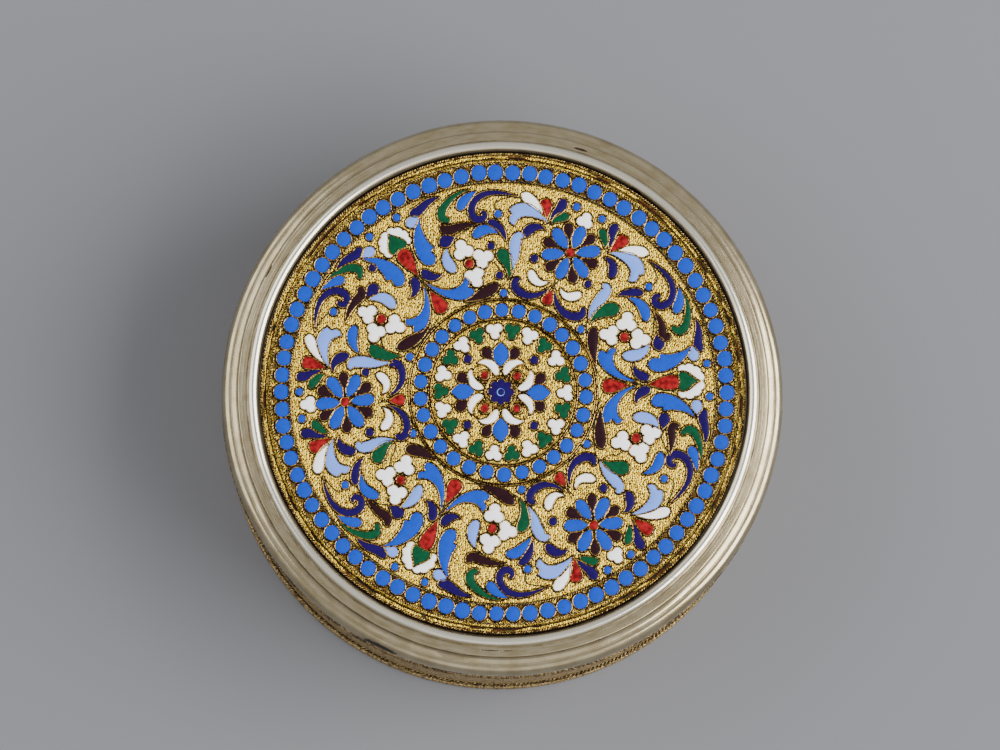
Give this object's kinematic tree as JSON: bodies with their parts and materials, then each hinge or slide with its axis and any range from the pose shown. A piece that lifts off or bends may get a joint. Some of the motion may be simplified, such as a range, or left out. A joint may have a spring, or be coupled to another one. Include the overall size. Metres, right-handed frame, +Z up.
{
  "type": "round cloisonne enamel box with lid",
  "caption": "Low round silver-gilt box with a moulded lift-off lid, set with a round cloisonne enamel plaque of scrolls and flowers.",
  "frame": {"origin": "centre of the underside, on the table that the box stands on", "axes": "+Z up along the box's axis; a palmette of the plaque's pattern lies on +X"},
  "size_m": [0.0846, 0.0846, 0.031],
  "materials": {
    "aged_gilt": "worn gilding over silver, darkened in the hollows",
    "silver_gilt": "polished silver with thin pale gilding",
    "enamel_ground": "matted gilt ground with dark tarnish in its hollows",
    "gold_wire": "twisted gilt wire",
    "enamel_sky": "glossy opaque sky blue enamel",
    "enamel_indigo": "glossy opaque indigo enamel",
    "enamel_pale": "glossy opaque pale blue enamel",
    "enamel_white": "glossy opaque white enamel",
    "enamel_green": "glossy translucent green enamel",
    "enamel_red": "glossy translucent red enamel",
    "enamel_maroon": "glossy dark maroon enamel"
  },
  "bodies": {
    "root": {"box_body": "aged_gilt", "lid": "silver_gilt", "enamel_plaque": "enamel_ground"}
  },
  "joints": []
}
